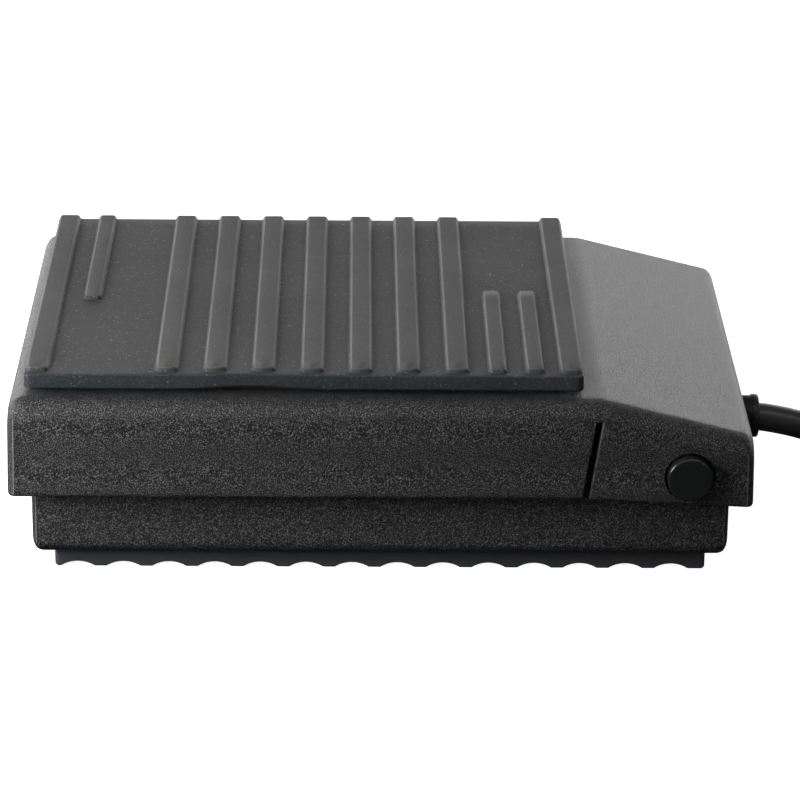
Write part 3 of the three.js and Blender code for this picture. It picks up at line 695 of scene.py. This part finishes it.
def add_tread_pad():
    cross = [(m + s * w / 2, -s) for m, w, _, _ in ribs() for s in (-1, 1)]
    ends = [(y0, 1) for _, _, y0, _ in ribs()] + [(y1, -1) for _, _, _, y1 in ribs()]
    edge = PAD["edge"]
    xs = stations(cross, pad_low.x + edge, pad_high.x - edge, 0.002)
    ys = stations(ends, pad_low.y + edge, pad_high.y - edge, 0.003)
    corner = PAD["corner"]
    margins = [edge * (1 - math.cos(math.pi / 2 * k / 4)) for k in range(4)]
    bows = [corner * (1 - math.cos(math.pi / 2 * k / 6)) for k in range(1, 7)]
    ends_of_x = [x for m in margins + bows for x in (pad_low.x + m, pad_high.x - m)]
    xs = sorted({round(v, 7) for v in [*xs, *ends_of_x]})
    rings = []
    half = pad_high.y
    for x in xs:
        inward = min(x - pad_low.x, pad_high.x - x)
        y_scale = (half - rounding(inward, corner)) / half
        top = PAD["top"] - rounding(inward, edge)
        upper = []
        for y in ys:
            upper.append((x, y * y_scale, top + pad_height(x, y) + LIFT["top_share"] * lifted(x, y)))
        side = half * y_scale
        rim = [(-side + edge - edge * math.sin(a), top - edge + edge * math.cos(a))
               for a in (math.pi / 8, math.pi / 4, 3 * math.pi / 8, math.pi / 2)]
        foot = pad_low.z + PAD["lip"]
        inset = side - PAD["lip_inset"]
        under = [(-side, foot), (-side + 0.0001, foot - 0.0001), (-inset, foot - 0.0001), (-inset, pad_low.z)]
        near = [(x, y, z + LIFT["top_share"] * lifted(x, y)) for y, z in rim]
        near += [(x, y, z + lifted(x, y)) for y, z in under]
        far = [(x, -y, z) for y, z in rim + under]
        rings.append(upper + far + list(reversed(near)))
    piece = loft("tread_pad_rubber", rings)
    mark = piece.data.attributes.new("rise", "FLOAT", "POINT")
    tops = len(ys)
    for k, point in enumerate(p for ring in rings for p in ring):
        on_top = k % len(rings[0]) < tops
        mark.data[k].value = pad_height(point[0], point[1]) / RIB["rise"] if on_top else SHADED_SIDE_MARK
    piece.data.materials.append(tread)
    ride(piece, "pedal", "tread_rubber", "tread_pad")


GROOVE = {"pitch": 0.00622, "land": 0.0016, "depth": 0.0007, "count": 15}


def mat_underside():
    """The mat's lower outline in X and Z: flat lands between shallow arcs."""
    half = (GROOVE["pitch"] - GROOVE["land"]) / 2
    radius = (half ** 2 + GROOVE["depth"] ** 2) / (2 * GROOVE["depth"])
    sweep = math.degrees(math.asin(half / radius))
    outline = []
    for k in range(GROOVE["count"] - 1):
        middle = mat_low.x + (k + 0.5) * GROOVE["pitch"]
        outline += arc(middle, GROOVE["depth"] - radius, radius, 90 + sweep, 90 - sweep, 12)
    return outline


def add_base_mat():
    corner, edge = 0.0005, 0.0003
    under = mat_underside()
    rings = []
    for y in end_stations(mat_low.y, mat_high.y, (corner,), 6, (0.0,)):
        inward = mat_high.y - abs(y)
        side = mat_high.x - rounding(inward, corner)
        low, high = rounding(inward, edge), mat_high.z - rounding(inward, edge)
        outline = [(-side + edge, high), (-side, high - edge), (-side, low + edge), (-side + edge, low)]
        outline += [(x, z + low) for x, z in under]
        outline += [(side - edge, low), (side, low + edge), (side, high - edge), (side - edge, high)]
        rings.append([(x, y, z) for x, z in outline])
    piece = loft("base_mat_rubber", rings)
    piece.data.materials.append(mat)
    ride(piece, "base", "mat_rubber", "base_mat")


# ---- pins, collar, cord and plug ----

def add_pin(side, node):
    """A pin with a rounded rim round a flat face."""
    low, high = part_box(node)
    head = (high.x - low.x) / 2
    inner, outer = sorted((abs(low.y), abs(high.y)))
    seat = base_high.y + 0.0003
    shaft = 0.0022
    blend = 0.0004
    rim = [(head - blend + blend * math.sin(a), outer - blend + blend * math.cos(a))
           for a in [math.pi / 2 * (1 - k / 6) for k in range(7)]]
    profile = [(0, inner), (shaft - blend, inner), (shaft, inner + blend), (shaft, seat), (head, seat), *rim,
               (0.9 * (head - blend), outer), (0, outer)]
    turn = Matrix.Rotation(-side * math.pi / 2, 4, "X")
    piece = lathe(node + "_cap", profile, 96, Matrix.Translation((PIVOT.x, 0, PIVOT.z)) @ turn)
    piece.data.materials.append(gloss)
    ride(piece, "pedal", "gloss_black", node)


def add_collar():
    """The strain relief: a short collar with a raised lip, and a flange inside the tray wall."""
    outer, bore, flange = 0.0031, 0.0023, 0.0049
    back = base_high.x - BASE["wall"] - 0.0003
    out = collar_high.x
    lip = 0.0009
    profile = [
        (bore, collar_low.x), (flange, collar_low.x), (flange, back), (outer - 0.0002, back),
        (outer - 0.0002, out - lip - 0.0003), (outer, out - lip), (outer, out - 0.0003),
        (outer - 0.0001, out - 0.0001), (outer - 0.0003, out), (bore + 0.0003, out), (bore, out - 0.0003),
        (bore, collar_low.x),
    ]
    turn = Matrix.Translation((0, 0, CORD_Z)) @ Matrix.Rotation(math.pi / 2, 4, "Y")
    piece = lathe("strain_relief_collar", profile, 72, turn)
    piece.data.materials.append(collar)
    return ride(piece, "base", "collar_pvc", "strain_relief")


def add_spring():
    """The CAD's coil, as it stands at rest."""
    piece = bpy.data.objects.new("return_spring_coil", nodes["return_spring"].data.copy())
    bpy.context.collection.objects.link(piece)
    piece.data.materials.clear()
    piece.data.materials.append(steel)
    ride(piece, "base", "spring_steel", "return_spring")
    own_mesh(piece)


CORD_RADIUS = 0.002
COIL = {"x": 0.097, "y": -0.027, "mean": 0.023, "layers": 4, "across": 3, "steps": 24}
# The routes repeat the CAD's, but the tail's last two points run on inside the plug's grip.
LEAD_ROUTE = (
    (0.0503, 0, 0.01095), (0.0526, 0, 0.01092), (0.055, 0, 0.01066), (0.0572, 0, 0.01026),
    (0.0594, 0, 0.00975), (0.0616, 0, 0.0091), (0.0638, 0, 0.0083), (0.066, 0, 0.0074),
    (0.0682, 0, 0.00645), (0.0704, 0, 0.00545), (0.0726, 0, 0.0045), (0.0748, 0, 0.00365),
    (0.077, 0, 0.00295), (0.0792, 0, 0.00245), (0.0811, 0, 0.0022),
)
TAIL_ROUTE = (
    (0.0896, 0.0038, 0.0134), (0.0918, 0.006, 0.0126), (0.0939, 0.0081, 0.0113), (0.096, 0.0102, 0.0095),
    (0.0981, 0.0123, 0.0072), (0.1003, 0.0144, 0.0053), (0.1027, 0.0161, 0.0039), (0.1054, 0.0175, 0.0029),
    (0.1082, 0.0185, 0.0023), (0.1112, 0.019, 0.00205), (0.1142, 0.0191, 0.002), (0.1172, 0.0187, 0.002),
    (0.1201, 0.0179, 0.00205), (0.1228, 0.0166, 0.00225), (0.1253, 0.015, 0.0028), (0.1276, 0.013, 0.0038),
    (0.1295, 0.0107, 0.0053), (0.131, 0.0082, 0.0068), (0.1322, 0.0054, 0.0078), (0.1329, 0.0025, 0.0083),
    (0.1332, -0.0005, 0.00829), (0.1333, -0.0016, 0.00824), (0.1333, -0.0028, 0.00816),
)


def coil_points():
    """Flat layers of turns, wound in and out in turn, each layer resting on the one below.
    The last turn leaves the coil an eighth of a turn early, where the tail begins."""
    across, steps = COIL["across"], COIL["steps"]
    pitch = 2 * CORD_RADIUS
    outer = COIL["mean"] + (across - 1) / 2 * pitch
    points = []
    for k in range(COIL["layers"] * across * steps - steps // 8 + 1):
        turn = k / steps
        layer = min(int(turn / across), COIL["layers"] - 1)
        place = turn - layer * across
        inward = settle(place, across)
        if layer % 2:
            inward = across - 1 - inward
        rise = ease((place - across + 0.4) / 0.4) if layer < COIL["layers"] - 1 else 0.0
        angle = math.pi / 2 - 2 * math.pi * turn
        radius = outer - inward * pitch
        z = CORD_RADIUS + (layer + rise) * pitch
        points.append((COIL["x"] + radius * math.cos(angle), COIL["y"] + radius * math.sin(angle), z))
    return points


def ease(t):
    t = max(0.0, min(1.0, t))
    return t * t * (3 - 2 * t)


def settle(place, across):
    """Turns lie at whole radii, and step in by one over the last fifth of each turn."""
    turn = int(place)
    return min(across - 1, turn + ease((place - turn - 0.8) / 0.2))


def add_cord():
    points = [*LEAD_ROUTE, (0.0845, 0, 0.002), (0.0905, 0, 0.002), *coil_points(),
              (0.0809, -0.0049, 0.014), (0.0838, -0.002, 0.014), (0.0867, 0.0009, 0.0138), *TAIL_ROUTE]
    curve = bpy.data.curves.new("cord", "CURVE")
    curve.dimensions = "3D"
    curve.bevel_depth = CORD_RADIUS
    curve.bevel_resolution = 6
    curve.resolution_u = 4
    curve.use_fill_caps = True
    line = curve.splines.new("BEZIER")
    line.bezier_points.add(len(points) - 1)
    for point, place in zip(line.bezier_points, points):
        point.co = place
        point.handle_left_type = point.handle_right_type = "AUTO"
    piece = bpy.data.objects.new("cord", curve)
    bpy.context.collection.objects.link(piece)
    curve.materials.append(cord_pvc)
    ride(piece, "base", "cord_pvc", "cord_lead", "cord_coil", "cord_tail")


# ---- the scene ----

plastic = grained_plastic()
tread = tread_rubber()
mat = mat_rubber()
gloss = smooth_plastic("gloss_black", (0.013, 0.0145, 0.015), 0.18)
collar = smooth_plastic("collar_pvc", (0.012, 0.012, 0.012), 0.42)
cord_pvc = smooth_plastic("cord_pvc", (0.05, 0.05, 0.05), 0.36)
grip_pvc = smooth_plastic("grip_pvc", (0.035, 0.035, 0.036), 0.42)
switch_plastic = smooth_plastic("switch_plastic", (0.015, 0.015, 0.016), 0.4)
button_plastic = smooth_plastic("button_plastic", (0.3, 0.025, 0.018), 0.35)
wire_red = smooth_plastic("wire_red", (0.4, 0.02, 0.02), 0.4)
wire_black = smooth_plastic("wire_black", (0.015, 0.015, 0.015), 0.4)
nickel = plain_metal("jack_nickel", (0.8, 0.77, 0.72), 0.34)
steel = plain_metal("spring_steel", (0.5, 0.5, 0.5), 0.3)
brass = plain_metal("contact_brass", (0.7, 0.5, 0.2), 0.28)

add_camera()
add_floor()
add_lights()
collar_piece = add_collar()
add_cord()
add_cover()
add_base()
add_tread_pad()
add_base_mat()
add_pin(-1, "pivot_pin_near")
add_pin(1, "pivot_pin_far")
add_spring()

KEPT = {
    "bumper_near": mat, "bumper_far": mat, "switch_body": switch_plastic,
    "switch_plunger": button_plastic, "switch_lever": steel, "terminal_common": brass, "terminal_open": brass,
    "terminal_closed": brass, "switch_screw_front": steel, "switch_screw_rear": steel, "cable_clamp": plastic,
    "clamp_screw_near": steel, "clamp_screw_far": steel, "cord_inner": cord_pvc, "wire_signal": wire_red,
    "wire_ground": wire_black, "plug_grip": grip_pvc, "plug_sleeve": nickel, "plug_ring": wire_black,
    "plug_tip": nickel,
}
for name, finish in KEPT.items():
    nodes[name].data.materials.clear()
    nodes[name].data.materials.append(finish)
